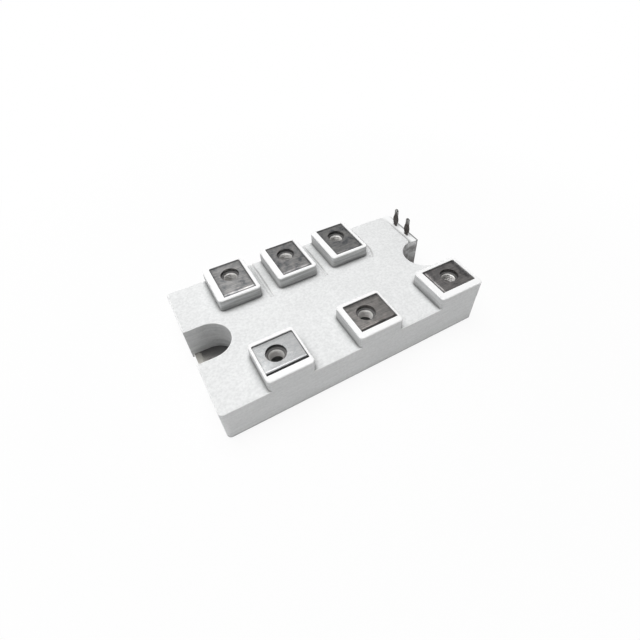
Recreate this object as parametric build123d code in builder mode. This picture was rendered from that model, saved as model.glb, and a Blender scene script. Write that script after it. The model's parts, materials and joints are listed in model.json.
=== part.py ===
"""Flat screw-terminal power module: a three-phase diode bridge with one thyristor at its output.

Millimetres. X runs along the module, Y from the front row of terminals to the rear row, and Z up
from the underside of the baseplate. The origin is the middle of that underside.
"""
import os
from collections import namedtuple

from build123d import *

# Housing shell
housing_length = 94.0
housing_width = 54.0
housing_top = 13.9
skirt_bottom = 1.0
corner_radius = 1.5
housing_wall = 1.5
housing_roof = 2.0
edge_round = 0.4

# Screw slots at both ends, and the low ledge behind the right-hand one
left_slot_radius = 7.1
left_slot_depth = 13.1
right_slot_radius = 7.5
right_slot_depth = 11.1
slot_wall = 1.5
ledge_width = 3.9
ledge_drop = 0.5
ledge_corner_round = 2.0

# Baseplate and its adhesive
base_thickness = 2.0
base_inset = 0.7
skirt_gap = 0.1
seal_thickness = 0.15
fixing_end_distance = 6.0
fixing_hole_diameter = 6.5

# Terminal strips
strip_thickness = 1.0
strip_bend = 0.3
rear_plate_length = 16.1
rear_plate_width = 10.9
front_plate_length = 11.25
front_plate_width = 13.0
end_plate_length = 13.4
plate_corner_radius = 0.4
terminal_hole_diameter = 6.4
rear_hole_setback = 6.2
front_hole_setback = 5.2
front_hole_shift = 1.0
end_hole_setback = 6.1
end_hole_shift = 0.4
leg_width = 4.5
shoulder_depth = 1.0
foot_length = 2.5

# Bosses round the strips, as rim widths outside the pockets
boss_height = 4.6
boss_corner_radius = 1.2
rim_step = 0.5
rim_round = 0.35
plate_gap = 0.15
bend_gap = 0.45
rear_left_rim = 2.3
rear_right_rim = 1.3
rear_inner_rim = 1.5
front_side_rim = 0.8
plus_left_rim = 1.85
front_outer_rim = 2.6
front_inner_rim = 1.4
end_left_rim = 2.7
end_right_rim = 1.1

# Middles of the terminals, from the left end, the right end or the middle of the housing
rear_left_distance = 21.6
rear_right_distance = 29.8
minus_left_distance = 22.2
plus_middle_distance = 6.4

# Captive M5 nuts
nut_across_flats = 8.0
nut_height = 4.0
nut_bore_diameter = 4.2
nut_gap = 0.1
screw_well_diameter = 5.5
screw_well_depth = 3.0
well_wall = 1.5

# Shallow creepage grooves in the roof, one beside each rear boss
groove_width = 1.6
groove_depth = 0.4
groove_distance = 2.7
groove_overrun = 2.0
end_groove_turn = 2.8
end_groove_inset = 1.7

# Blade contacts on the ledge
tab_width = 2.8
tab_thickness = 0.5
tab_height = 7.4
tab_foot_width = 1.7
tab_foot_height = 0.8
tab_wide_low = 2.0
tab_wide_high = 3.3
tab_head_low = 4.7
tab_head_width = 1.8
tab_bend_round = 0.5
tab_tip_round = 0.7
tab_eye_diameter = 0.9
tab_eye_setback = 1.1
tab_stem_width = 1.3
tab_stem_end = 7.0
tab_slot_gap = 0.05
tab_end_distance = 1.95
tab_rear_distance = 7.0
tab_pitch = 7.3

# Metallised ceramic
substrate_gap = 1.0
substrate_side_gap = 1.2
solder_thickness = 0.1
copper_thickness = 0.3
ceramic_thickness = 0.6
copper_margin = 0.6
track_gap = 0.7

# Chips and their links
diode_size = 7.0
thyristor_size = 10.0
chip_thickness = 0.4
chip_margin = 0.6
diode_offset_x = 5.6
diode_offset_y = 9.1
ac_pad_depth = 8.8
ac_pad_length = 12.5
pad_margin = 0.8
pad_end_margin = 3.0
front_pad_depth = 14.0
clip_width = 4.5
clip_thickness = 0.4
clip_rise = 0.8
clip_foot = 1.8
clip_half_seat = 1.5
clip_landing = 0.55
output_track_reach = 6.5
gate_track_width = 1.8
gate_pad_inset = 1.5
gate_wire_diameter = 0.4
gate_wire_rise = 1.5
gate_wire_bend = 0.8
lead_diameter = 0.8
lead_level = 5.2
lead_bend = 1.4
lead_inset = 1.0
lead_stagger = 3.0
gel_top = 8.0

# Worked out from the sizes above
half_length = housing_length / 2
half_width = housing_width / 2
rear_pitch = (housing_length - rear_left_distance - rear_right_distance) / 2
boss_top = housing_top + boss_height
plate_top = boss_top - rim_step
pocket_floor = plate_top - strip_thickness
shoulder_level = pocket_floor - shoulder_depth
nut_floor = pocket_floor - nut_height - nut_gap
well_floor = nut_floor - screw_well_depth
roof_underside = housing_top - housing_roof
ledge_top = housing_top - ledge_drop
ledge_x = half_length - ledge_width
wall_foot = base_thickness + seal_thickness
base_length = housing_length - 2 * base_inset
base_width = housing_width - 2 * base_inset
base_corner = corner_radius - base_inset

copper_back_level = base_thickness + solder_thickness
ceramic_level = copper_back_level + copper_thickness
track_level = ceramic_level + ceramic_thickness
track_top = track_level + copper_thickness
chip_level = track_top + solder_thickness
chip_top = chip_level + chip_thickness

rear_leg_y = half_width - rear_plate_length
front_leg_y = -half_width + front_outer_rim + plate_gap
front_free_y = front_leg_y + front_plate_length
front_boss_y = front_free_y + plate_gap + front_inner_rim
end_leg_x = half_length - end_right_rim - plate_gap - end_plate_length

tab_x = half_length - tab_end_distance
gate_tab_y = half_width - tab_rear_distance
tab_places = [(tab_x, gate_tab_y - tab_pitch), (tab_x, gate_tab_y)]

# A strip has its leg at x and y and its plate along toward; its foot lies away from the plate or under it
Terminal = namedtuple("Terminal", "name x y toward length width setback shift foot")
ToRear = Vector(0, 1, 0)
ToFront = Vector(0, -1, 0)
ToRight = Vector(1, 0, 0)
ToTop = Vector(0, 0, 1)

rear_terminals = [
    Terminal(f"terminal_ac{count + 1}", -half_length + rear_left_distance + count * rear_pitch, rear_leg_y,
             ToRear, rear_plate_length, rear_plate_width, rear_hole_setback, 0.0, "away")
    for count in range(3)
]
front_terminals = [
    Terminal(name, x, front_leg_y, ToRear, front_plate_length, front_plate_width, front_hole_setback,
             -front_hole_shift, "under")
    for name, x in (
        ("terminal_minus", -half_length + minus_left_distance),
        ("terminal_plus", plus_middle_distance),
    )
]
end_terminal = Terminal("terminal_output", end_leg_x, (front_leg_y + front_free_y) / 2,
                        ToRight, end_plate_length, front_plate_length, end_hole_setback,
                        -end_hole_shift, "away")
terminals = rear_terminals + front_terminals + [end_terminal]


def over(terminal, level):
    """Level plane with its origin at the strip's leg and its x axis along the plate."""
    return Plane(origin=(terminal.x, terminal.y, level), x_dir=terminal.toward, z_dir=ToTop)


def hole_place(terminal, level):
    """Middle of a terminal's hole at one level."""
    along = terminal.toward * (terminal.length - terminal.setback)
    across = terminal.toward.cross(ToTop) * terminal.shift
    return Vector(terminal.x, terminal.y, level) + along + across


def span(low_x, high_x, low_y, high_y):
    """Rectangle between two pairs of coordinates, added to the open sketch."""
    with Locations(((low_x + high_x) / 2, (low_y + high_y) / 2)):
        Rectangle(high_x - low_x, high_y - low_y)


def slot_outline(side, radius, depth, grow=0.0):
    """U-shaped outline open at one end of the module: side is -1 at the left, 1 at the right."""
    middle = half_length - depth + radius
    outside = half_length + radius
    ends = sorted((side * middle, side * outside))
    with BuildSketch() as outline:
        span(ends[0], ends[1], -radius - grow, radius + grow)
        with Locations((side * middle, 0)):
            Circle(radius + grow)
    return outline.sketch


slots = slot_outline(-1, left_slot_radius, left_slot_depth)
slots += slot_outline(1, right_slot_radius, right_slot_depth)
slot_walls = slot_outline(-1, left_slot_radius, left_slot_depth, slot_wall)
slot_walls += slot_outline(1, right_slot_radius, right_slot_depth, slot_wall)

# The housing seen from above, with its two screw slots
with BuildSketch() as shell_outline:
    RectangleRounded(housing_length, housing_width, corner_radius)
    add(slots, mode=Mode.SUBTRACT)

# The corner that steps down to the ledge, and the same with the wall beside it
with BuildSketch() as ledge_outline:
    span(ledge_x, housing_length, 0, housing_width)
with BuildSketch() as ledge_and_wall:
    span(ledge_x - housing_wall, housing_length, 0, housing_width)

# The full-height roof, with its corners beside the ledge rounded
with BuildSketch() as roof_outline:
    add(shell_outline.sketch)
    add(ledge_outline.sketch, mode=Mode.SUBTRACT)
    fillet(roof_outline.vertices().sort_by_distance((ledge_x, right_slot_radius, 0))[0], ledge_corner_round)
    fillet(roof_outline.vertices().sort_by_distance((ledge_x, half_width, 0))[0], corner_radius)

# The room inside the walls, with the walls round the two slots left out
with BuildSketch() as cavity_outline:
    Rectangle(housing_length - 2 * housing_wall, housing_width - 2 * housing_wall)
    add(slot_walls, mode=Mode.SUBTRACT)


# Raised bosses, with the outer walls of the front and rear rows flush with the housing
with BuildPart() as bosses:
    with BuildSketch(Plane.XY.offset(roof_underside)):
        for post in rear_terminals:
            half_plate = post.width / 2 + plate_gap
            low_x = post.x - half_plate - rear_left_rim
            high_x = post.x + half_plate + rear_right_rim
            low_y = post.y - plate_gap - rear_inner_rim
            with Locations(((low_x + high_x) / 2, (low_y + half_width) / 2)):
                RectangleRounded(high_x - low_x, half_width - low_y, boss_corner_radius)
        for post, left_rim in zip(front_terminals, (front_side_rim, plus_left_rim)):
            low_x = post.x - post.width / 2 - plate_gap - left_rim
            high_x = post.x + post.width / 2 + plate_gap + front_side_rim
            with Locations(((low_x + high_x) / 2, (front_boss_y - half_width) / 2)):
                RectangleRounded(high_x - low_x, half_width + front_boss_y, boss_corner_radius)
        low_x = end_leg_x - plate_gap - end_left_rim
        with Locations(((low_x + half_length) / 2, (front_boss_y - half_width) / 2)):
            RectangleRounded(half_length - low_x, half_width + front_boss_y, boss_corner_radius)
    extrude(amount=boss_top - roof_underside)
    fillet(bosses.edges().group_by(Axis.Z)[-1], rim_round)

# Housing, moulded in one piece and open underneath
with BuildPart() as housing:
    with BuildSketch(Plane.XY.offset(ledge_top)):
        add(roof_outline.sketch)
    extrude(amount=ledge_drop)
    fillet(housing.edges().group_by(Axis.Z)[-1], edge_round)
    with BuildSketch(Plane.XY.offset(skirt_bottom)):
        add(shell_outline.sketch)
    extrude(amount=ledge_top - skirt_bottom)
    add(bosses.part)

    # Rebate that takes the baseplate, and the room above it
    with BuildSketch(Plane.XY.offset(skirt_bottom)):
        RectangleRounded(base_length + 2 * skirt_gap, base_width + 2 * skirt_gap, base_corner + skirt_gap)
    extrude(amount=wall_foot - skirt_bottom, mode=Mode.SUBTRACT)
    with BuildSketch(Plane.XY.offset(wall_foot)):
        add(cavity_outline.sketch)
    extrude(amount=ledge_top - housing_roof - wall_foot, mode=Mode.SUBTRACT)
    with BuildSketch(Plane.XY.offset(ledge_top - housing_roof)):
        add(cavity_outline.sketch)
        add(ledge_and_wall.sketch, mode=Mode.SUBTRACT)
    extrude(amount=ledge_drop, mode=Mode.SUBTRACT)

    # Columns for the tips of the terminal screws
    for post in terminals:
        with BuildSketch(Plane(hole_place(post, well_floor - well_wall))):
            Circle(screw_well_diameter / 2 + well_wall)
        extrude(amount=roof_underside - well_floor + well_wall)

    # Pockets for the plates, slots for their legs, nut pockets and screw wells
    for post in terminals:
        far_end = post.length + (half_width if post in rear_terminals else plate_gap)
        half_plate = post.width / 2 + plate_gap
        with BuildSketch(over(post, pocket_floor)) as pocket:
            span(-bend_gap, far_end, -half_plate, half_plate)
            fillet(pocket.vertices().group_by(Axis.X)[-1], plate_corner_radius + plate_gap)
        extrude(amount=boss_top - pocket_floor, mode=Mode.SUBTRACT)
        with BuildSketch(over(post, shoulder_level - plate_gap)):
            span(-bend_gap, strip_thickness + strip_bend, -half_plate, half_plate)
        extrude(amount=shoulder_depth + plate_gap, mode=Mode.SUBTRACT)
        half_leg = leg_width / 2 + plate_gap
        with BuildSketch(over(post, well_floor - well_wall)):
            span(-plate_gap, strip_thickness + plate_gap, -half_leg, half_leg)
        extrude(amount=pocket_floor - well_floor + well_wall, mode=Mode.SUBTRACT)
        turn = 30 if post.toward == ToRight else 0
        with BuildSketch(Plane(hole_place(post, nut_floor))):
            RegularPolygon(nut_across_flats / 2 + nut_gap, 6, major_radius=False, rotation=turn)
        extrude(amount=pocket_floor - nut_floor, mode=Mode.SUBTRACT)
        with BuildSketch(Plane(hole_place(post, well_floor))):
            Circle(screw_well_diameter / 2)
        extrude(amount=screw_well_depth, mode=Mode.SUBTRACT)

    # Grooves in the roof that lengthen the way between neighbouring terminals
    with BuildSketch(Plane.XY.offset(housing_top)):
        rear_boss_y = rear_leg_y - plate_gap - rear_inner_rim
        groove_end = rear_boss_y - groove_overrun
        groove_offset = rear_plate_width / 2 + plate_gap + rear_right_rim + groove_distance
        for post in rear_terminals[:-1]:
            groove_x = post.x + groove_offset
            span(groove_x - groove_width / 2, groove_x + groove_width / 2, groove_end, housing_width)
        groove_x = rear_terminals[-1].x + groove_offset
        with BuildLine():
            FilletPolyline(
                (groove_x, housing_width),
                (groove_x, rear_boss_y + end_groove_turn),
                (groove_x - end_groove_inset, groove_end),
                radius=ledge_corner_round,
            )
        trace(line_width=groove_width)
    extrude(amount=-groove_depth, taper=45, mode=Mode.SUBTRACT)

    # Slots that hold the stems of the blade contacts
    with BuildSketch(Plane.XY.offset(ledge_top)):
        with Locations(*tab_places):
            Rectangle(tab_thickness + 2 * tab_slot_gap, tab_stem_width + 2 * tab_slot_gap)
    extrude(amount=-housing_roof, mode=Mode.SUBTRACT)

# Baseplate, blanked from sheet
with BuildPart() as baseplate:
    with BuildSketch():
        RectangleRounded(base_length, base_width, base_corner)
        fixing_x = half_length - fixing_end_distance
        with Locations((-fixing_x, 0), (fixing_x, 0)):
            Circle(fixing_hole_diameter / 2, mode=Mode.SUBTRACT)
    extrude(amount=base_thickness)

# Bead of adhesive under every wall of the housing
with BuildPart() as adhesive_seal:
    with BuildSketch(Plane.XY.offset(base_thickness)):
        RectangleRounded(base_length, base_width, base_corner)
        add(cavity_outline.sketch, mode=Mode.SUBTRACT)
        add(slots, mode=Mode.SUBTRACT)
    extrude(amount=seal_thickness)


def make_strip(terminal):
    """One punched and folded strip: top plate, narrow leg and soldered foot."""
    across = terminal.toward.cross(ToTop)
    side_view = Plane(origin=(terminal.x, terminal.y, 0), x_dir=terminal.toward, z_dir=across)
    outer_bend = strip_bend + strip_thickness
    foot_top = track_top + strip_thickness
    if terminal.foot == "under":
        tip, plate_side, far_side = strip_thickness + foot_length, foot_top, track_top
        plate_side_bend, far_side_bend = strip_bend, outer_bend
    else:
        tip, plate_side, far_side = -foot_length, track_top, foot_top
        plate_side_bend, far_side_bend = outer_bend, strip_bend
    with BuildPart() as strip:
        with BuildSketch(side_view) as profile:
            with BuildLine():
                Polyline(
                    (terminal.length, plate_top),
                    (0, plate_top),
                    (0, far_side),
                    (tip, far_side),
                    (tip, plate_side),
                    (strip_thickness, plate_side),
                    (strip_thickness, pocket_floor),
                    (terminal.length, pocket_floor),
                    close=True,
                )
            make_face()
            for along, level, radius in (
                (0, plate_top, outer_bend),
                (strip_thickness, pocket_floor, strip_bend),
                (0, far_side, far_side_bend),
                (strip_thickness, plate_side, plate_side_bend),
            ):
                fillet(profile.vertices().sort_by_distance((along, level, 0))[0], radius)
        extrude(amount=terminal.width / 2, both=True)
        free_corners = strip.edges().filter_by(Axis.Z).sort_by(Axis((0, 0, 0), terminal.toward))[-2:]
        fillet(free_corners, plate_corner_radius)
        with BuildSketch(over(terminal, track_top)):
            for side in (-1, 1):
                edges = sorted((side * leg_width / 2, side * terminal.width))
                span(-2 * foot_length, 2 * foot_length, edges[0], edges[1])
        extrude(amount=shoulder_level - track_top, mode=Mode.SUBTRACT)
        with BuildSketch(Plane(hole_place(terminal, pocket_floor))):
            Circle(terminal_hole_diameter / 2)
        extrude(amount=strip_thickness, mode=Mode.SUBTRACT)
    return strip


strips = [make_strip(post) for post in terminals]

# Loose hexagon nuts under the six plates
with BuildPart() as terminal_nuts:
    for post in terminals:
        turn = 30 if post.toward == ToRight else 0
        with BuildSketch(Plane(hole_place(post, nut_floor))):
            RegularPolygon(nut_across_flats / 2, 6, major_radius=False, rotation=turn)
            Circle(nut_bore_diameter / 2, mode=Mode.SUBTRACT)
        extrude(amount=nut_height)


def make_tab(place):
    """One blade contact: round head with an eye, wide middle, narrow foot on the ledge, stem through it."""
    side_view = Plane(origin=(place[0], place[1], ledge_top), x_dir=(0, 1, 0), z_dir=(1, 0, 0))
    outline = [
        (tab_foot_width / 2, 0),
        (tab_foot_width / 2, tab_foot_height),
        (tab_width / 2, tab_wide_low),
        (tab_width / 2, tab_wide_high),
        (tab_head_width / 2, tab_head_low),
        (tab_head_width / 2, tab_height),
    ]
    mirrored = [(-across, up) for across, up in reversed(outline)]
    with BuildPart() as tab:
        with BuildSketch(side_view) as blade:
            with BuildLine():
                Polyline(*outline, *mirrored, close=True)
            make_face()
            bends = blade.vertices().group_by(Axis.Y)[1:-1]
            fillet([corner for level in bends for corner in level], tab_bend_round)
            fillet(blade.vertices().group_by(Axis.Y)[-1], tab_tip_round)
            span(-tab_stem_width / 2, tab_stem_width / 2, tab_stem_end - ledge_top, 0)
            with Locations((0, tab_height - tab_eye_setback)):
                Circle(tab_eye_diameter / 2, mode=Mode.SUBTRACT)
        extrude(amount=tab_thickness / 2, both=True)
    return tab


cathode_tab, gate_tab = [make_tab(place) for place in tab_places]

# Ceramic tile with copper on both faces, soldered to the baseplate
substrate_left = -half_length + left_slot_depth + slot_wall + substrate_gap
substrate_right = half_length - right_slot_depth - slot_wall - substrate_gap
substrate_edge = half_width - housing_wall - substrate_side_gap
copper_left = substrate_left + copper_margin
copper_right = substrate_right - copper_margin
copper_edge = substrate_edge - copper_margin

with BuildPart() as substrate_solder:
    with BuildSketch(Plane.XY.offset(base_thickness)):
        span(copper_left, copper_right, -copper_edge, copper_edge)
    extrude(amount=solder_thickness)

with BuildPart() as substrate_back_copper:
    with BuildSketch(Plane.XY.offset(copper_back_level)):
        span(copper_left, copper_right, -copper_edge, copper_edge)
    extrude(amount=copper_thickness)

with BuildPart() as substrate_ceramic:
    with BuildSketch(Plane.XY.offset(ceramic_level)):
        span(substrate_left, substrate_right, -substrate_edge, substrate_edge)
    extrude(amount=ceramic_thickness)

# Plan of the copper tracks, from the feet of the terminals and the chips beside them
ac_middle_y = rear_leg_y + (strip_thickness - foot_length) / 2
ac_low_y = ac_middle_y - ac_pad_depth / 2
ac_high_y = ac_middle_y + ac_pad_depth / 2
ac_first_x = rear_terminals[0].x - leg_width / 2 - pad_margin
ac_last_x = rear_terminals[-1].x - leg_width / 2 - pad_margin + ac_pad_length
plus_high_y = ac_low_y - track_gap
pad_inner_y = -copper_edge + front_pad_depth
minus_pad_right = front_terminals[0].x + leg_width / 2 + pad_end_margin
output_left = end_leg_x - foot_length - output_track_reach
gate_left = ac_last_x + track_gap
gate_right = gate_left + gate_track_width

with BuildPart() as substrate_tracks:
    with BuildSketch(Plane.XY.offset(track_level)):
        span(copper_left, ac_last_x, ac_high_y + track_gap, copper_edge)
        span(copper_left, ac_first_x - track_gap, -copper_edge, copper_edge)
        span(copper_left, minus_pad_right, -copper_edge, pad_inner_y)
    extrude(amount=copper_thickness)
    with BuildSketch(Plane.XY.offset(track_level)):
        for post in rear_terminals:
            pad_left = post.x - leg_width / 2 - pad_margin
            span(pad_left, pad_left + ac_pad_length, ac_low_y, ac_high_y)
    extrude(amount=copper_thickness)
    with BuildSketch(Plane.XY.offset(track_level)):
        span(ac_first_x, ac_last_x, pad_inner_y + track_gap, plus_high_y)
        span(minus_pad_right + track_gap, output_left - track_gap, -copper_edge, plus_high_y)
    extrude(amount=copper_thickness)
    with BuildSketch(Plane.XY.offset(track_level)):
        span(output_left, copper_right, -copper_edge, pad_inner_y)
        span(gate_right + track_gap, copper_right, -copper_edge, ac_high_y)
    extrude(amount=copper_thickness)
    with BuildSketch(Plane.XY.offset(track_level)):
        span(gate_left, gate_right, pad_inner_y + track_gap, ac_high_y)
    extrude(amount=copper_thickness)

# Chips: one diode each side of every pad of the rear row, and the thyristor at the front
diode_places = [
    (post.x + diode_offset_x, ac_middle_y + side * diode_offset_y)
    for post in rear_terminals
    for side in (-1, 1)
]
thyristor_x = output_left - track_gap - chip_margin - thyristor_size / 2
thyristor_y = (front_leg_y + front_free_y) / 2 + chip_margin

with BuildPart() as chip_solder:
    with BuildSketch(Plane.XY.offset(track_top)):
        with Locations(*diode_places):
            Rectangle(diode_size, diode_size)
        with Locations((thyristor_x, thyristor_y)):
            Rectangle(thyristor_size, thyristor_size)
    extrude(amount=solder_thickness)

with BuildPart() as diode_chips:
    with BuildSketch(Plane.XY.offset(chip_level)):
        with Locations(*diode_places):
            Rectangle(diode_size, diode_size)
    extrude(amount=chip_thickness)

with BuildPart() as thyristor_chip:
    with BuildSketch(Plane.XY.offset(chip_level)):
        with Locations((thyristor_x, thyristor_y)):
            Rectangle(thyristor_size, thyristor_size)
    extrude(amount=chip_thickness)


def clip_outline(landing):
    """Side view of a copper link: seat on the chip, bridge, and foot on the track beside it."""
    bridge = chip_top + clip_rise
    riser = clip_half_seat - clip_thickness
    with BuildSketch() as outline:
        with BuildLine():
            Polyline(
                (-clip_half_seat, chip_top),
                (clip_half_seat, chip_top),
                (clip_half_seat, bridge),
                (landing, bridge),
                (landing, track_top),
                (landing + clip_foot, track_top),
                (landing + clip_foot, track_top + clip_thickness),
                (landing + clip_thickness, track_top + clip_thickness),
                (landing + clip_thickness, bridge + clip_thickness),
                (riser, bridge + clip_thickness),
                (riser, chip_top + clip_thickness),
                (-clip_half_seat, chip_top + clip_thickness),
                close=True,
            )
        make_face()
    return outline.sketch


# Links from the diodes to the pads of the rear row
diode_clip = clip_outline(diode_offset_y - ac_pad_depth / 2 + clip_landing)
with BuildPart() as diode_clips:
    for count, (chip_x, chip_y) in enumerate(diode_places):
        inward = ToRear if count % 2 == 0 else ToFront
        across = inward.cross(ToTop)
        with BuildSketch(Plane(origin=(chip_x, chip_y, 0), x_dir=inward, z_dir=across)):
            add(diode_clip)
        extrude(amount=clip_width / 2, both=True)

output_clip = clip_outline(thyristor_size / 2 + chip_margin + track_gap + clip_landing)
with BuildPart() as thyristor_clip:
    with BuildSketch(Plane(origin=(thyristor_x, thyristor_y, 0), x_dir=ToRight, z_dir=(0, -1, 0))):
        add(output_clip)
    extrude(amount=clip_width / 2, both=True)


def make_wire(points, diameter, bend):
    """Round wire along straight runs joined by arcs."""
    with BuildPart() as wire:
        with BuildLine() as route:
            FilletPolyline(*points, radius=bend)
        with BuildSketch(route.line ^ 0):
            Circle(diameter / 2)
        sweep(path=route.line)
    return wire


# Wire from the gate corner of the thyristor to the gate track
gate_corner = thyristor_size / 2 - gate_pad_inset
gate_start = Vector(thyristor_x + gate_corner, thyristor_y + gate_corner, chip_top)
gate_end = Vector((gate_left + gate_right) / 2, pad_inner_y + track_gap + lead_inset, track_top)
gate_wire_top = chip_top + gate_wire_rise
gate_bond_wire = make_wire(
    (
        gate_start,
        (gate_start.X, gate_start.Y, gate_wire_top),
        (gate_end.X, gate_end.Y, gate_wire_top),
        gate_end,
    ),
    gate_wire_diameter,
    gate_wire_bend,
)


def make_lead(start_x, start_y, place):
    """Insulated wire from a signal track to the stem of a blade contact."""
    points = (
        (start_x, start_y, track_top),
        (start_x, start_y, lead_level),
        (place[0], place[1], lead_level),
        (place[0], place[1], tab_stem_end),
    )
    return make_wire(points, lead_diameter, lead_bend)


lead_y = ac_high_y - lead_inset
cathode_lead = make_lead((gate_right + track_gap + copper_right) / 2, lead_y - lead_stagger, tab_places[0])
gate_lead = make_lead(gate_end.X, lead_y, tab_places[1])

pieces = {
    "housing": housing,
    "baseplate": baseplate,
    "adhesive_seal": adhesive_seal,
    "terminal_nuts": terminal_nuts,
    "gate_tab": gate_tab,
    "cathode_tab": cathode_tab,
    "substrate_solder": substrate_solder,
    "substrate_back_copper": substrate_back_copper,
    "substrate_ceramic": substrate_ceramic,
    "substrate_tracks": substrate_tracks,
    "chip_solder": chip_solder,
    "diode_chips": diode_chips,
    "thyristor_chip": thyristor_chip,
    "diode_clips": diode_clips,
    "thyristor_clip": thyristor_clip,
    "gate_bond_wire": gate_bond_wire,
    "gate_lead": gate_lead,
    "cathode_lead": cathode_lead,
}
for post, strip in zip(terminals, strips):
    pieces[post.name] = strip

# Soft filling that covers everything on the substrate
with BuildPart() as silicone_gel:
    with BuildSketch(Plane.XY.offset(base_thickness)):
        add(cavity_outline.sketch)
    extrude(amount=gel_top - base_thickness)
    for name, piece in pieces.items():
        if name not in ("housing", "baseplate", "adhesive_seal", "terminal_nuts"):
            add(piece.part, mode=Mode.SUBTRACT)
pieces["silicone_gel"] = silicone_gel

os.makedirs("parts", exist_ok=True)
for name, piece in pieces.items():
    piece.part.label = name
    export_step(piece.part, f"parts/{name}.step")
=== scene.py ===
"""Looks of the thyristor module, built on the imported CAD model. Metres throughout, in the CAD's own frame."""

import json
import math

import bmesh
import bpy
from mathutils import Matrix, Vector


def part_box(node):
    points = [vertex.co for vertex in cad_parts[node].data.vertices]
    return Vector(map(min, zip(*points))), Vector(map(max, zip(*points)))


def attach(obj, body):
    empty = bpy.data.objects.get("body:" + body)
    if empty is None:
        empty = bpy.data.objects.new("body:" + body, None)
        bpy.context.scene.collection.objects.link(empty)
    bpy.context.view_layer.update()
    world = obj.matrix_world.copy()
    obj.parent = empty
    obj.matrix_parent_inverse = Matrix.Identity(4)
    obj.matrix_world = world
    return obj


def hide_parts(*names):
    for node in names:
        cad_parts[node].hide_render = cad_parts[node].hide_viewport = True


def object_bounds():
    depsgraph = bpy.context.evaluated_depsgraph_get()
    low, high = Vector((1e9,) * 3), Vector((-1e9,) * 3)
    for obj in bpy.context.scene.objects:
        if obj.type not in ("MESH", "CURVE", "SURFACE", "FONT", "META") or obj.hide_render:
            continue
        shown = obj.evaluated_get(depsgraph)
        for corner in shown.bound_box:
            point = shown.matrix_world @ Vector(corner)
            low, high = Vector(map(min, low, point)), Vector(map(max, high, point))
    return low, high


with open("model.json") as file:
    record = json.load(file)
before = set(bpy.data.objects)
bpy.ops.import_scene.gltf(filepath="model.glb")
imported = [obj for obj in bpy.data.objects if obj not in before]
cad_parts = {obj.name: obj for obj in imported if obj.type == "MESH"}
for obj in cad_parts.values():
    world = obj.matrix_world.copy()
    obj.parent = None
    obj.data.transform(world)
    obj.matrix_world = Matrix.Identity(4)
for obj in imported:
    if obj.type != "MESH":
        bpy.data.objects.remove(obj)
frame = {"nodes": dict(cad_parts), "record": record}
nodes = frame["nodes"]
cad_low, cad_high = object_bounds()
MM = 0.001


# Camera
# The photograph is taken from close by, from above and from the front left, with a short lens.
CAMERA_PLACE = Vector((-46.18, -88.67, 113.25)) * MM
CAMERA_AZIMUTH = math.radians(30.691)
CAMERA_DIP = math.radians(47.56)
LENS_LENGTH = 22.905
FILM_WIDTH = 36
FILM_SHIFT = (-0.0305, -0.0124)
NEAREST = 10 * MM
lens = bpy.data.cameras.new("camera")
lens.lens = LENS_LENGTH
lens.sensor_width = FILM_WIDTH
lens.shift_x, lens.shift_y = FILM_SHIFT
lens.clip_start = NEAREST
camera = bpy.data.objects.new("camera", lens)
camera.location = CAMERA_PLACE
looking = Vector((
    math.sin(CAMERA_AZIMUTH) * math.cos(CAMERA_DIP),
    math.cos(CAMERA_AZIMUTH) * math.cos(CAMERA_DIP),
    -math.sin(CAMERA_DIP),
))
camera.rotation_euler = looking.to_track_quat("-Z", "Y").to_euler()
bpy.context.scene.collection.objects.link(camera)
bpy.context.scene.camera = camera
bpy.context.scene.view_settings.view_transform = "Standard"


# Housing
# One moulding in glass-filled polyester, pale grey. It is pressed in a polished mould, so its skin is
# even but not glossy, with a fine mottle from the glass and faint flow lines along the walls.
MOULDING_PALE = "#F1F2F2"
MOULDING_SHADE = "#DCDDDD"
MOULDING_RIM_HIGHLIGHT = "#FCFCFC"
MOULDING_LEDGE_HIGHLIGHT = "#FBFCFC"
MOULDING_NOTCH_HIGHLIGHT = "#FFFFFF"
PAINTED_SHADE_GREY = "#4A4B4A"
BROWN_BLOT_AND_SHADE = "#4E403C"
MOULDING_GLINT = 0.35
MOULDING_ROUGHNESS = (0.5, 0.68)
MOTTLE_SIZE = 0.8 * MM
CLOUD_SIZE = 20 * MM
FLOW_LENGTH = 12 * MM
FLOW_HEIGHT = 0.6 * MM
# The real grain is about 0.02 mm, too fine to show; it is drawn twelve times as coarse.
GRAIN_SIZE = 0.24 * MM
GRAIN_DEPTH = 0.012 * MM
RELIEF = 0.6
# Strengths that rise or fall over a range, and ranges of a pattern's values, from soft patches to crisp ones.
RISING = (0, 1)
FALLING = (1, 0)
SOFT_PATCHES = (0.35, 0.65)
CRISP_PATCHES = (0.42, 0.58)


def linear(colour):
    """The linear colour that Blender's sockets hold, from an sRGB hex colour."""
    parts = [int(colour[i:i + 2], 16) / 255 for i in (1, 3, 5)]
    return (*[p / 12.92 if p <= 0.04045 else ((p + 0.055) / 1.055) ** 2.4 for p in parts], 1.0)


def add_node(owner, kind, settings=None, links=None):
    """Adds a node to a material or the world. A key of the settings names a property or an input, or is an
    input's number. Links give the inputs' sources: an output, or a node for its first output in use."""
    tree = owner.node_tree
    made = tree.nodes.new("ShaderNode" + kind)
    values = dict(settings or {})
    for key in [k for k in values if isinstance(k, str) and k not in made.inputs]:
        setattr(made, key, values.pop(key))
    for key, value in values.items():
        made.inputs[key].default_value = value
    for key, source in (links or {}).items():
        if isinstance(source, bpy.types.Node):
            source = next(output for output in source.outputs if output.enabled)
        tree.links.new(source, made.inputs[key])
    return made


def new_material(name):
    """An empty node material, and the frame's coordinates in metres."""
    material = bpy.data.materials.new(name)
    material.use_nodes = True
    material.node_tree.nodes.clear()
    return material, add_node(material, "TexCoord").outputs["Object"]


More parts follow.
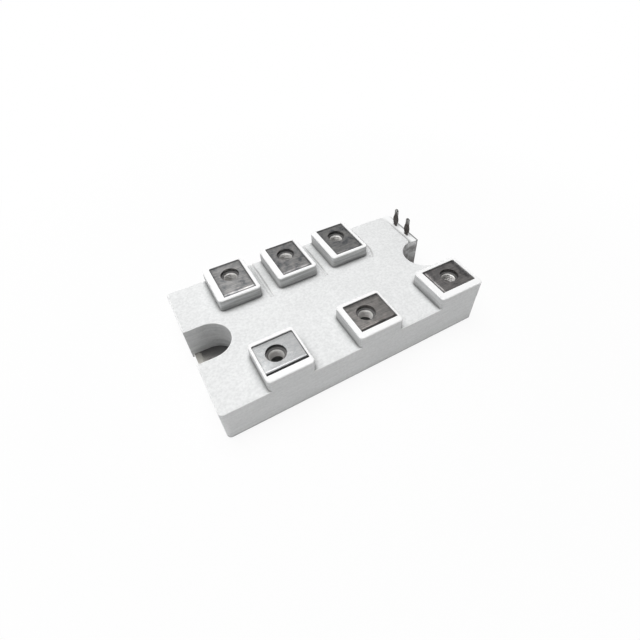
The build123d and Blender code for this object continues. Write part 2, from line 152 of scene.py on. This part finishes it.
def pattern(material, place, size, detail=3):
    """Irregular patches of one size, or of a size along each axis. Its values lie round 0.5."""
    sizes = size if isinstance(size, tuple) else (size, size, size)
    scales = {"Scale": tuple(1 / length for length in sizes)}
    scaled = add_node(material, "Mapping", scales, {"Vector": place})
    return add_node(material, "TexNoise", {"Scale": 1, "Detail": detail}, {"Vector": scaled})


def strength(owner, *parts):
    """How strongly something shows, as a product. A part is a strength made before, or a value, the range it
    acts in and the strengths at the two ends of that range, which also hold outside it."""
    product = None
    for part in parts:
        if isinstance(part, tuple):
            value, (low, high), (start, end) = part
            limits = {"From Min": low, "From Max": high, "To Min": start, "To Max": end}
            part = add_node(owner, "MapRange", limits, {"Value": value})
        if product is not None:
            part = add_node(owner, "Math", {"operation": "MULTIPLY"}, {0: product, 1: part})
        product = part
    return product


def paint(material, ground, *coats):
    """A ground colour under coats of stain, wear or dirt, each a strength and a colour, the top one last."""
    links = {}
    for amount, coat in coats:
        links[0] = amount
        colours = {"data_type": "RGBA", 6: linear(ground), 7: linear(coat)}
        links[6] = add_node(material, "Mix", colours, links)
    return links[6]


def complete(material, settings, colour, sheen, roughness, relief, depth):
    """Adds the shader, with its colour, a roughness that follows a pattern, and a relief of some depth."""
    low, high = roughness
    gloss = add_node(material, "MapRange", {"To Min": low, "To Max": high}, {"Value": sheen})
    bump = add_node(material, "Bump", {"Strength": RELIEF, "Distance": depth}, {"Height": relief})
    links = {"Base Color": colour, "Roughness": gloss, "Normal": bump}
    shader = add_node(material, "BsdfPrincipled", settings, links)
    add_node(material, "OutputMaterial", links={"Surface": shader})


def dress(names, material):
    """Gives CAD nodes their material."""
    for name in names:
        for slot in nodes[name].material_slots:
            slot.material = material


housing_low, housing_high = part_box("housing")
housing_end = housing_high[0]
boss_top = housing_high[2]
skirt_bottom = housing_low[2]
moulding, place = new_material("polyester_moulding_as_pressed")
spot = add_node(moulding, "SeparateXYZ", links={0: place}).outputs
normal = add_node(moulding, "NewGeometry").outputs["Normal"]
facing = add_node(moulding, "SeparateXYZ", links={0: normal}).outputs
# Where the upward part of a face's direction, 0 on a wall and 1 on a roof, turns the one into the other.
WALL_TO_ROOF = (0.2, 0.6)
walls = strength(moulding, (facing["Z"], WALL_TO_ROOF, FALLING))

# The skin is a little darker in places: a mottle that is weaker on the walls, broad clouds, and flow lines
# that show on the walls only.
MOTTLE_PATCHES = (0.32, 0.68)
MOTTLE_DARK = 0.75
MOTTLE_ON_WALLS = 0.6
CLOUD_DARK = 0.15
FLOW_DARK = 0.3
mottle = pattern(moulding, place, MOTTLE_SIZE)
clouds = pattern(moulding, place, CLOUD_SIZE, detail=2)
flow = pattern(moulding, place, (FLOW_LENGTH, FLOW_LENGTH, FLOW_HEIGHT), detail=2)
weaker_on_walls = (facing["Z"], WALL_TO_ROOF, (MOTTLE_ON_WALLS, 1))
mottled = strength(moulding, (mottle, MOTTLE_PATCHES, (0, MOTTLE_DARK)), weaker_on_walls)
clouded = strength(moulding, (clouds, SOFT_PATCHES, (0, CLOUD_DARK)))
lined = strength(moulding, (flow, SOFT_PATCHES, (0, FLOW_DARK)), walls)
uneven = add_node(moulding, "Math", {"operation": "ADD"}, {0: mottled, 1: clouded})
shaded = add_node(moulding, "Math", {"operation": "ADD"}, {0: uneven, 1: lined})

# The rounded edges and the rims of the bosses are painted pale: a painted highlight on the rounds.
OUT_OF_WALL = (0.25, 0.5)
INTO_ROOF = (0.94, 0.985)
rim_span = (boss_top - 0.4 * MM, boss_top - 0.25 * MM)
edge_highlight = strength(moulding, (facing["Z"], OUT_OF_WALL, RISING), (facing["Z"], INTO_ROOF, FALLING))
rim_highlight = strength(moulding, (spot["Z"], rim_span, RISING))
below_rim = strength(moulding, (spot["Z"], rim_span, FALLING))

# Painted shade, set by ambient occlusion: darker at the feet of the bosses, in streaks on their walls and in
# the creases. The walls that face the left end get less of it, which stands in for light from the left.
CORNER_REACH = 6.5 * MM
CREASE_REACH = 1.1 * MM
# How open a point lies, from 0 to 1: at the foot of a boss, on its wall, and in a crease.
FOOT_OPEN = (0.4, 0.74)
WALL_OPEN = (0.88, 0.97)
CREASE_OPEN = (0.5, 0.95)
FOOT_SHADE = 0.65
BOSS_WALL_SHADE = 0.42
CREASE_SHADE = 0.5
STREAK_SWING = (0.65, 1.35)
LEFTWARD = (-0.9, -0.5)
LEFT_WALL_SHADE = 0.5
nearby = {"samples": 12, "only_local": True, "Distance": CORNER_REACH}
corner = add_node(moulding, "AmbientOcclusion", nearby).outputs["AO"]
closer = {"samples": 8, "only_local": True, "Distance": CREASE_REACH}
crease = add_node(moulding, "AmbientOcclusion", closer).outputs["AO"]
foot_shade = strength(moulding, (corner, FOOT_OPEN, (FOOT_SHADE, 0)), below_rim)
sheltered_wall_shade = strength(moulding, (corner, WALL_OPEN, (BOSS_WALL_SHADE, 0)), walls, below_rim)
streaky_wall_shade = strength(moulding, sheltered_wall_shade, (flow, SOFT_PATCHES, STREAK_SWING))
wall_shade_by_facing = strength(moulding, streaky_wall_shade, (facing["X"], LEFTWARD, (LEFT_WALL_SHADE, 1)))
crease_shade = strength(moulding, (crease, CREASE_OPEN, (CREASE_SHADE, 0)), below_rim)

# The walls of the screw slots get painted shade in level streaks, stronger near the bottom. The slots lie
# within a reach from each end, and within a half width of the middle line.
SLOT_REACH = 13.7 * MM
SLOT_HALF = 7.7 * MM
SLOT_FADE = 0.3 * MM
SLOT_STREAK_SIZE = (7 * MM, 7 * MM, 1.6 * MM)
SLOT_SHADE_HEIGHTS = (2 * MM, 13 * MM)
SLOT_SHADE_LOW_AND_HIGH = (0.288, 0.12)
SLOT_STREAK_SWING = (0.6, 1.3)
slot_start = housing_end - SLOT_REACH
from_middle = add_node(moulding, "Math", {"operation": "ABSOLUTE"}, {0: spot["X"]})
from_axis = add_node(moulding, "Math", {"operation": "ABSOLUTE"}, {0: spot["Y"]})
end_walls = strength(moulding, (from_middle, (slot_start, slot_start + SLOT_FADE), RISING), walls)
in_slot = strength(moulding, (from_axis, (SLOT_HALF, SLOT_HALF + SLOT_FADE), FALLING), end_walls)
slot_streaks = pattern(moulding, place, SLOT_STREAK_SIZE)
slot_shade = strength(
    moulding,
    in_slot,
    (spot["Z"], SLOT_SHADE_HEIGHTS, SLOT_SHADE_LOW_AND_HIGH),
    (slot_streaks, SOFT_PATCHES, SLOT_STREAK_SWING),
)

# The right slot's wall is darkened further in brownish blots and towards the bottom: brown stains and painted
# shade. A pale patch at the top where the ledge begins is a painted highlight.
BLADE_HEIGHT = 7.4 * MM
LEDGE_WIDTH = 3.9 * MM
SMUDGE_SIZE = 2.2 * MM
SMUDGE_DARK = 0.48
BOTTOM_HEIGHTS = (3 * MM, 6 * MM)
BOTTOM_SHADE = 0.6
ledge_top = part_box("gate_tab")[1][2] - BLADE_HEIGHT
ledge_start = housing_end - LEDGE_WIDTH
notch_highlight_heights = (ledge_top - 2.4 * MM, ledge_top - 1.6 * MM)
notch_highlight_start = (ledge_start - 1.4 * MM, ledge_start - 0.6 * MM)
notch_highlight_end = (housing_end - 0.9 * MM, housing_end - 0.4 * MM)
in_right_slot = strength(moulding, in_slot, (spot["X"], (0, slot_start), RISING))
smudges = strength(moulding, (pattern(moulding, place, SMUDGE_SIZE), CRISP_PATCHES, (0, SMUDGE_DARK)))
bottom = strength(moulding, (spot["Z"], BOTTOM_HEIGHTS, (BOTTOM_SHADE, 0)))
smudges_and_bottom_shade = add_node(moulding, "Math", {"operation": "MAXIMUM"}, {0: smudges, 1: bottom})
blots_and_shade = strength(moulding, in_right_slot, smudges_and_bottom_shade)
# Painted highlight: a pale patch at the top of the right slot, by the ledge.
notch_highlight = strength(
    moulding,
    in_right_slot,
    (spot["Z"], notch_highlight_heights, RISING),
    (spot["X"], notch_highlight_start, RISING),
    (spot["X"], notch_highlight_end, FALLING),
)

# The ledge is painted paler than the roof, a painted highlight. Painted shade lies in the corner of its step
# and along its lip, less at the rear.
NEARLY_LEVEL = (0.9, 0.99)
STEP_LINE = 1.5 * MM
LEDGE_SHADE = (0.8, 0.15)
LEDGE_FRONT_TO_REAR = (17 * MM, 26 * MM)
ledge_height = (ledge_top + 0.1 * MM, ledge_top + 0.3 * MM)
ledge_edge = (ledge_start - 0.5 * MM, ledge_start - 0.4 * MM)
lip_span = (housing_end - 0.8 * MM, housing_end - 0.4 * MM)
on_ledge = strength(
    moulding,
    (facing["Z"], NEARLY_LEVEL, RISING),
    (spot["Z"], ledge_height, FALLING),
    (spot["X"], ledge_edge, RISING),
)
step = strength(moulding, (spot["X"], (ledge_start, ledge_start + STEP_LINE), FALLING))
lip = strength(moulding, (spot["X"], lip_span, RISING))
step_or_lip = add_node(moulding, "Math", {"operation": "MAXIMUM"}, {0: step, 1: lip})
ledge_shade = strength(moulding, on_ledge, (spot["Y"], LEDGE_FRONT_TO_REAR, LEDGE_SHADE), step_or_lip)

# A thin line of painted shade follows the bottom edge of the outer walls.
HEM_HEIGHT = 0.7 * MM
HEM_SHADE = 0.6
hem_shade = strength(moulding, (spot["Z"], (skirt_bottom, skirt_bottom + HEM_HEIGHT), (HEM_SHADE, 0)), walls)

moulding_colour = paint(
    moulding,
    MOULDING_PALE,
    (shaded, MOULDING_SHADE),
    (edge_highlight, MOULDING_RIM_HIGHLIGHT),
    (rim_highlight, MOULDING_RIM_HIGHLIGHT),
    (foot_shade, PAINTED_SHADE_GREY),
    (wall_shade_by_facing, PAINTED_SHADE_GREY),
    (crease_shade, PAINTED_SHADE_GREY),
    (slot_shade, PAINTED_SHADE_GREY),
    (blots_and_shade, BROWN_BLOT_AND_SHADE),
    (notch_highlight, MOULDING_NOTCH_HIGHLIGHT),
    (on_ledge, MOULDING_LEDGE_HIGHLIGHT),
    (ledge_shade, PAINTED_SHADE_GREY),
    (hem_shade, PAINTED_SHADE_GREY),
)
grain = pattern(moulding, place, GRAIN_SIZE, detail=2)
glint = {"Specular IOR Level": MOULDING_GLINT}
complete(moulding, glint, moulding_colour, mottle, MOULDING_ROUGHNESS, grain, GRAIN_DEPTH)
dress(["housing"], moulding)


# Baseplate
# A rolled copper plate with a matt electroless nickel coat, ground flat underneath. It shows as a thin edge
# below the housing and through the two screw slots, where it is painted dark: painted shade, set by ambient
# occlusion.
NICKEL_MATT = "#CFCDC8"
NICKEL_MATT_DARK = "#B4B2AC"
BASE_SHADE_GREY = "#505052"
NICKEL_MATT_ROUGHNESS = (0.34, 0.52)
ROLLING_LENGTH = 18 * MM
# The real rolling lines are about 0.03 mm wide, too fine to show; they are drawn about twelve times as wide.
ROLLING_WIDTH = 0.35 * MM
ROLLING_DEPTH = 0.006 * MM
BASE_SHADE_REACH = 11 * MM
BASE_SHADE_OPEN = (0.62, 0.8)
BASE_SHADE_COVER = 0.84
NOT_UNDERNEATH = (-0.9, -0.5)
UNSHADED_END_WIDTH = 1.7 * MM
SHADE_EDGE_WAVE = 3 * MM
SHADE_EDGE_BLUR = 0.3 * MM
METAL = {"Metallic": 1}
base_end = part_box("baseplate")[1][0]
base_nickel, place = new_material("copper_plate_nickel_matt")
rolling = pattern(base_nickel, place, (ROLLING_LENGTH, ROLLING_WIDTH, ROLLING_WIDTH), detail=4)
covered = add_node(base_nickel, "AmbientOcclusion", {"samples": 12, "Distance": BASE_SHADE_REACH}).outputs["AO"]
normal = add_node(base_nickel, "NewGeometry").outputs["Normal"]
upward = add_node(base_nickel, "SeparateXYZ", links={0: normal}).outputs["Z"]
# The painted shade lies where the plate is covered, but not underneath, and stops along a wavy line short of
# the two ends.
from_middle = add_node(base_nickel, "SeparateXYZ", links={0: place}).outputs["X"]
from_middle = add_node(base_nickel, "Math", {"operation": "ABSOLUTE"}, {0: from_middle})
wave = pattern(base_nickel, place, SHADE_EDGE_WAVE)
wavy = add_node(base_nickel, "Math", {"operation": "MULTIPLY_ADD", 1: SHADE_EDGE_WAVE}, {0: wave, 2: from_middle})
shade_edge = base_end - UNSHADED_END_WIDTH + SHADE_EDGE_WAVE / 2
base_shade = strength(
    base_nickel,
    (covered, BASE_SHADE_OPEN, (BASE_SHADE_COVER, 0)),
    (upward, NOT_UNDERNEATH, RISING),
    (wavy, (shade_edge - SHADE_EDGE_BLUR, shade_edge + SHADE_EDGE_BLUR), FALLING),
)
base_colour = paint(base_nickel, NICKEL_MATT, (rolling, NICKEL_MATT_DARK), (base_shade, BASE_SHADE_GREY))
complete(base_nickel, METAL, base_colour, rolling, NICKEL_MATT_ROUGHNESS, rolling, ROLLING_DEPTH)
dress(["baseplate"], base_nickel)


# Terminals
# Copper strips, punched and folded over the nuts, with a nickel coat. Five have gone dull and stained; the coat
# of the front left one is still bright. All get painted shade along their edges and on the round of the fold,
# and those that run along Y also at their free ends.
STAIN_SIZE = 3.6 * MM
BLOT_SIZE = 1.3 * MM
SCRATCH_LENGTH = 7 * MM
# The real drawing lines and tool marks are about 0.05 mm wide, too fine to show; these are wider.
SCRATCH_WIDTH = 0.28 * MM
FOLD_PITCH = 0.45 * MM
FOLD_MARKS = 2.4 * MM
EDGE_REACH = 1.4 * MM
FREE_END_SHADE_FADE = 1.3 * MM
FREE_END_SHADE_FULL = 0.52 * MM
DRAWING_DEPTH = 0.003 * MM
ROUGHNESS_SWING = 0.06
STAIN_PATCHES = (0.36, 0.64)
BLOT_PATCHES = (0.4, 0.68)
BLOT_SHARE = 0.5
LINE_PATCHES = (0.42, 0.62)
LINE_SHARE = 0.45
BLACK_MARKS = (0.5, 0.56)
PALE_MARKS = (0.38, 0.46)
EDGE_SHADE_OPEN = (0.7, 0.97)
ROUND_OF_FOLD = (0.988, 0.999)
NICKEL_BLACK_MARKS_AND_SHADE = "#2B2B2D"
NICKEL_PALE_MARK_HIGHLIGHT = "#E9E2DC"


def nickel_strip(name, pale, dark, tint, rough, marks_and_shade, fold_shade):
    """A nickel-plated strip: stains, blots, drawn lines, fold marks drawn as pale highlight and dark dashes,
    and painted shade along its edges, on the fold and, in most, at the free end.
    """
    strip, place = new_material(name.replace("terminal", "nickel_plated_strip"))
    low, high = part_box(name)
    spot = add_node(strip, "SeparateXYZ", links={0: place}).outputs
    normal = add_node(strip, "NewGeometry").outputs["Normal"]
    upward = add_node(strip, "SeparateXYZ", links={0: normal}).outputs["Z"]
    corner = add_node(strip, "AmbientOcclusion", {"samples": 8, "Distance": EDGE_REACH}).outputs["AO"]
    # The plate runs away from its fold along Y in five strips, and along X in the one at the right end.
    at_end = name == "terminal_output"
    axis = 0 if at_end else 1
    mark_size = [SCRATCH_LENGTH, SCRATCH_LENGTH, FOLD_PITCH]
    mark_size[axis] = FOLD_PITCH
    marks = pattern(strip, place, tuple(mark_size), detail=1)
    near_fold = strength(strip, (spot[axis], (low[axis], low[axis] + FOLD_MARKS), (marks_and_shade, 0)))
    stains = strength(strip, (pattern(strip, place, STAIN_SIZE, detail=5), STAIN_PATCHES, RISING))
    blots = pattern(strip, place, BLOT_SIZE, detail=5)
    drawn = pattern(strip, place, (SCRATCH_LENGTH, SCRATCH_WIDTH, SCRATCH_WIDTH))
    coats = [
        (stains, dark),
        (strength(strip, (blots, BLOT_PATCHES, (0, BLOT_SHARE))), tint),
        (strength(strip, (drawn, LINE_PATCHES, (0, LINE_SHARE))), dark),
        # The fold marks double as a painted highlight: pale dashes and dark gaps along the fold.
        (strength(strip, (marks, BLACK_MARKS, RISING), near_fold), NICKEL_BLACK_MARKS_AND_SHADE),
        (strength(strip, (marks, PALE_MARKS, FALLING), near_fold), NICKEL_PALE_MARK_HIGHLIGHT),
        (strength(strip, (corner, EDGE_SHADE_OPEN, (marks_and_shade, 0))), NICKEL_BLACK_MARKS_AND_SHADE),
    ]
    if not at_end:
        # The free ends lie open at the rear or under the inner rims, and get painted shade.
        free_end = (high[1] - FREE_END_SHADE_FADE, high[1] - FREE_END_SHADE_FULL)
        coats.append((strength(strip, (spot["Y"], free_end, (0, marks_and_shade))), NICKEL_BLACK_MARKS_AND_SHADE))
    # On the round of the fold, painted shade darkens the fold's reflection.
    coats.append((strength(strip, (upward, ROUND_OF_FOLD, (fold_shade, 0))), NICKEL_BLACK_MARKS_AND_SHADE))
    roughness = (rough - ROUGHNESS_SWING, rough + ROUGHNESS_SWING)
    complete(strip, METAL, paint(strip, pale, *coats), stains, roughness, drawn, DRAWING_DEPTH)
    dress([name], strip)


nickel_strip("terminal_ac1", "#CCCBCA", "#74777A", "#D8D3CF", rough=0.36, marks_and_shade=0.65, fold_shade=0.2)
nickel_strip("terminal_ac2", "#C2C1C0", "#6A6D70", "#D4CECA", rough=0.36, marks_and_shade=0.65, fold_shade=0.2)
nickel_strip("terminal_ac3", "#BEBEBC", "#6C6E72", "#CCC8C4", rough=0.36, marks_and_shade=0.6, fold_shade=0.2)
nickel_strip("terminal_minus", "#D0D1D2", "#B9BBBC", "#DCDBDA", rough=0.2, marks_and_shade=0.12, fold_shade=0.76)
nickel_strip("terminal_plus", "#B9B6B4", "#757472", "#C6BEBA", rough=0.36, marks_and_shade=0.4, fold_shade=0.2)
nickel_strip("terminal_output", "#BFBCBB", "#6E6D6E", "#CDC6C2", rough=0.36, marks_and_shade=0.45, fold_shade=0.5)


# Terminal nuts
# Six M5 hexagon nuts, cold-formed steel with clear zinc, loose in their pockets under the terminals.
# Each has chamfered corners and a cut thread, of which the top turns show through the terminal's hole.
NUT_WIDTH = 8.0 * MM
THREAD_INNER = 2.1 * MM
THREAD_OUTER = 2.5 * MM
THREAD_PITCH = 0.8 * MM
THREAD_FLANK = 1.35
THREAD_CREST = 0.2
COUNTERSINK = 2.65 * MM
CHAMFER_CIRCLE = 3.8 * MM
CHAMFER_SLOPE = math.tan(math.radians(30))
NUT_COLUMNS = 72
ROWS_PER_PITCH = 8
SIXTH_TURN = math.pi / 3
SHARP_FROM = math.radians(35)
# The pocket at the right end is turned a twelfth of a turn against the others, and so is its nut.
nut_low, nut_top = (corner[2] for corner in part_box("terminal_nuts"))
nut_places = [
    (Vector(mount["pos_m"]), 0 if mount["name"] == "output_screw" else SIXTH_TURN / 2)
    for mount in frame["record"]["mounts"] if mount["name"].endswith("_screw")
]


def thread_radius(angle, z):
    """The bore's radius: a V thread with narrow flats, opened at both ends by a countersink."""
    phase = (z / THREAD_PITCH - angle / (2 * math.pi)) % 1
    groove = min(1.0, max(0.0, THREAD_FLANK * (1 - abs(2 * phase - 1)) - THREAD_CREST))
    cut = THREAD_INNER + groove * (THREAD_OUTER - THREAD_INNER)
    opening = COUNTERSINK - min(z - nut_low, nut_top - z)
    return max(cut, opening)


def nut_column(angle):
    """(radius, height) of each point of the nut's section at one angle, round the closed section."""
    rows = round((nut_top - nut_low) / THREAD_PITCH * ROWS_PER_PITCH)
    levels = [nut_low + (nut_top - nut_low) * i / rows for i in range(rows + 1)]
    bore = [(thread_radius(angle, z), z) for z in levels]
    from_flat = (angle + SIXTH_TURN / 2) % SIXTH_TURN - SIXTH_TURN / 2
    flat = NUT_WIDTH / 2 / math.cos(from_flat)
    drop = (flat - CHAMFER_CIRCLE) * CHAMFER_SLOPE
    top = [(CHAMFER_CIRCLE, nut_top), (flat, nut_top - drop)]
    bottom = [(flat, nut_low + drop), (CHAMFER_CIRCLE, nut_low)]
    return bore + top + bottom


mesh = bmesh.new()
for centre, turn in nut_places:
    columns = []
    for column in range(NUT_COLUMNS):
        angle = 2 * math.pi * column / NUT_COLUMNS
        along, across = math.cos(angle + turn), math.sin(angle + turn)
        columns.append([
            mesh.verts.new((centre.x + r * along, centre.y + r * across, z)) for r, z in nut_column(angle)
        ])
    for this, following in zip(columns, columns[1:] + columns[:1]):
        for i in range(len(this)):
            j = (i + 1) % len(this)
            mesh.faces.new((this[i], this[j], following[j], following[i]))
bmesh.ops.recalc_face_normals(mesh, faces=mesh.faces)
nut_data = bpy.data.meshes.new("threaded_nuts")
mesh.to_mesh(nut_data)
mesh.free()
nut_data.shade_smooth()
nut_data.set_sharp_from_angle(angle=SHARP_FROM)
nuts = bpy.data.objects.new("threaded_nuts", nut_data)
bpy.context.scene.collection.objects.link(nuts)

# The zinc is pale, and the top faces are darkened: painted shade for the dark ring in each terminal's hole.
ZINC_BRIGHT = "#FBFAF8"
ZINC_GREY = "#EAE8E6"
NUT_RING_SHADE_GREY = "#3C3C3D"
ZINC_ROUGHNESS = (0.5, 0.7)
SPECKLE_SIZE = 0.6 * MM
SPECKLE_DEPTH = 0.01 * MM
NUT_RING_SHADE_COVER = 0.8
nut_ring_shade_heights = (nut_top - 0.4 * MM, nut_top - 0.2 * MM)
zinc, place = new_material("steel_zinc_clear")
speckle = pattern(zinc, place, SPECKLE_SIZE, detail=4)
height = add_node(zinc, "SeparateXYZ", links={0: place}).outputs["Z"]
nut_ring_shade = strength(zinc, (height, nut_ring_shade_heights, (0, NUT_RING_SHADE_COVER)))
zinc_colour = paint(zinc, ZINC_BRIGHT, (speckle, ZINC_GREY), (nut_ring_shade, NUT_RING_SHADE_GREY))
complete(zinc, METAL, zinc_colour, speckle, ZINC_ROUGHNESS, speckle, SPECKLE_DEPTH)
nut_data.materials.append(zinc)
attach(nuts, "root")
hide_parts("terminal_nuts")
dress(["terminal_nuts"], zinc)


# Blade contacts
# Two thin tabs punched from brass strip and hot-dip tinned, standing in the ledge at the right end. The
# tin has gone dark grey, with a lighter rub near the rounded head.
TIN_DARK = "#453F3C"
TIN_RUBBED = "#C4C6C4"
TIN_ROUGHNESS = (0.48, 0.32)
TIN_PATCH = 1.3 * MM
TIN_DEPTH = 0.01 * MM
RUB_PATCHES = (0.38, 0.6)
RUB_LOW_AND_HIGH = (0.1, 0.8)
blade_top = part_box("gate_tab")[1][2]
head_heights = (blade_top - 2.4 * MM, blade_top - 1.0 * MM)
tin, place = new_material("brass_blade_tin_dulled")
patches = pattern(tin, place, TIN_PATCH)
height = add_node(tin, "SeparateXYZ", links={0: place}).outputs["Z"]
tin_rub = strength(tin, (patches, RUB_PATCHES, RISING), (height, head_heights, RUB_LOW_AND_HIGH))
tin_colour = paint(tin, TIN_DARK, (tin_rub, TIN_RUBBED))
complete(tin, METAL, tin_colour, patches, TIN_ROUGHNESS, patches, TIN_DEPTH)
dress(["gate_tab", "cathode_tab"], tin)


# Inner pieces
# Everything inside the closed housing: solder, metallised ceramic, chips, clips, wires, gel and glue.
# None of it shows from outside, so each gets its plain material with one fine pattern. A row names the
# material, its nodes, its two tones, how metallic and how rough it is, and the pattern's size in mm.
INNER_ROUGHNESS_SWING = 0.08
INNER_DEPTH = 0.004 * MM
INNER = [
    ("silicone_adhesive_cured", ["adhesive_seal"], "#3A3A3C", "#2C2C2E", 0, 0.45, 0.8),
    ("silicone_gel_clear", ["silicone_gel"], "#C9CCCB", "#BFC3C2", 0, 0.12, 3.0),
    ("tin_silver_solder_reflowed", ["substrate_solder", "chip_solder"], "#B4B5B8", "#9A9B9F", 1, 0.34, 0.6),
    ("copper_bonded_bare", ["substrate_back_copper", "substrate_tracks", "diode_clips", "thyristor_clip"],
     "#C98564", "#B06F50", 1, 0.35, 0.5),
    ("alumina_fired", ["substrate_ceramic"], "#F1EEE6", "#E6E2D9", 0, 0.6, 0.4),
    ("silicon_sawn", ["diode_chips", "thyristor_chip"], "#5B5E66", "#4C4F57", 1, 0.2, 0.3),
    ("aluminium_wire_drawn", ["gate_bond_wire"], "#D5D6D8", "#C2C3C6", 1, 0.3, 0.2),
    ("silicone_sleeve_extruded", ["gate_lead", "cathode_lead"], "#B8322C", "#A32A25", 0, 0.4, 0.8),
]
for name, names, pale, dark, metallic, rough, size in INNER:
    material, place = new_material(name)
    grain = pattern(material, place, size * MM)
    roughness = (rough - INNER_ROUGHNESS_SWING, rough + INNER_ROUGHNESS_SWING)
    tone = paint(material, pale, (grain, dark))
    complete(material, {"Metallic": metallic}, tone, grain, roughness, grain, INNER_DEPTH)
    dress(names, material)


# Floor
# A white studio table without an edge in view. The camera sees it almost white everywhere, and it keeps a
# share of real light and shade near the module, which is the module's shadow.
FLOOR_HALF = 3.0
FLOOR_PARTS = 8
FLOOR_WHITE = "#F4F4F4"
FLOOR_ROUGHNESS = 0.9
SHADOW_SHARE = 0.09
SHADOW_REACH = 0.09
floor_mesh = bmesh.new()
bmesh.ops.create_grid(floor_mesh, x_segments=FLOOR_PARTS, y_segments=FLOOR_PARTS, size=FLOOR_HALF)
floor_data = bpy.data.meshes.new("floor")
floor_mesh.to_mesh(floor_data)
floor_mesh.free()
floor = bpy.data.objects.new("floor", floor_data)
floor.location.z = cad_low.z
bpy.context.scene.collection.objects.link(floor)
table, place = new_material("table_white_matt")
matt = add_node(table, "BsdfPrincipled", {"Base Color": linear(FLOOR_WHITE), "Roughness": FLOOR_ROUGHNESS})
white = add_node(table, "Emission", {"Strength": 1.0})
rays = add_node(table, "LightPath").outputs
seen_by = {0: rays["Is Camera Ray"], 1: rays["Is Glossy Ray"]}
seen = add_node(table, "Math", {"operation": "MAXIMUM"}, seen_by)
distance = add_node(table, "VectorMath", {"operation": "LENGTH"}, {0: place}).outputs["Value"]
share = strength(table, (distance, (SHADOW_REACH, 2 * SHADOW_REACH), (1 - SHADOW_SHARE, 1)), seen)
surface = add_node(table, "MixShader", links={0: share, 1: matt, 2: white})
add_node(table, "OutputMaterial", links={"Surface": surface})
floor_data.materials.append(table)


# Lights and surroundings
# One large soft box overhead, and a small one behind the module that the bright terminal mirrors. The room
# is dim, with a paler wall behind, and white only where the camera looks straight at it.
ROOM_DIM = 0.2
WALL_PALE = 0.2
WALL_DIRECTION = Vector((-0.1, 0.77, 0.63)).normalized()
WALL_SPREAD = (0.75, 1.0)
ROOM_WHITE = (1, 1, 1, 1)


def soft_box(name, place, aim, size, power):
    """An area light with plain white light, turned towards a point."""
    lamp = bpy.data.lights.new(name, "AREA")
    lamp.shape = "RECTANGLE"
    lamp.size, lamp.size_y = size
    lamp.energy = power
    box = bpy.data.objects.new(name, lamp)
    box.location = place
    box.rotation_euler = (Vector(aim) - Vector(place)).to_track_quat("-Z", "Y").to_euler()
    bpy.context.scene.collection.objects.link(box)


soft_box("overhead_box", (-0.08, 0.06, 0.55), aim=(0, 0, 0), size=(0.5, 0.5), power=2.95)
soft_box("rear_card", (0.055, 0.3, 0.42), aim=(-0.02, -0.02, 0.018), size=(0.2, 0.16), power=0.045)
world = bpy.data.worlds.new("studio")
bpy.context.scene.world = world
world.use_nodes = True
world.node_tree.nodes.clear()
heading = add_node(world, "TexCoord").outputs["Generated"]
towards = {"operation": "DOT_PRODUCT", 1: WALL_DIRECTION}
at_wall = add_node(world, "VectorMath", towards, {0: heading}).outputs["Value"]
brightness = strength(world, (at_wall, WALL_SPREAD, (ROOM_DIM, ROOM_DIM + WALL_PALE)))
room = add_node(world, "Background", {"Color": ROOM_WHITE}, {"Strength": brightness})
backdrop = add_node(world, "Background", {"Color": ROOM_WHITE, "Strength": 1.0})
sight = add_node(world, "LightPath").outputs["Is Camera Ray"]
mixed = add_node(world, "MixShader", links={0: sight, 1: room, 2: backdrop})
add_node(world, "OutputWorld", links={"Surface": mixed})
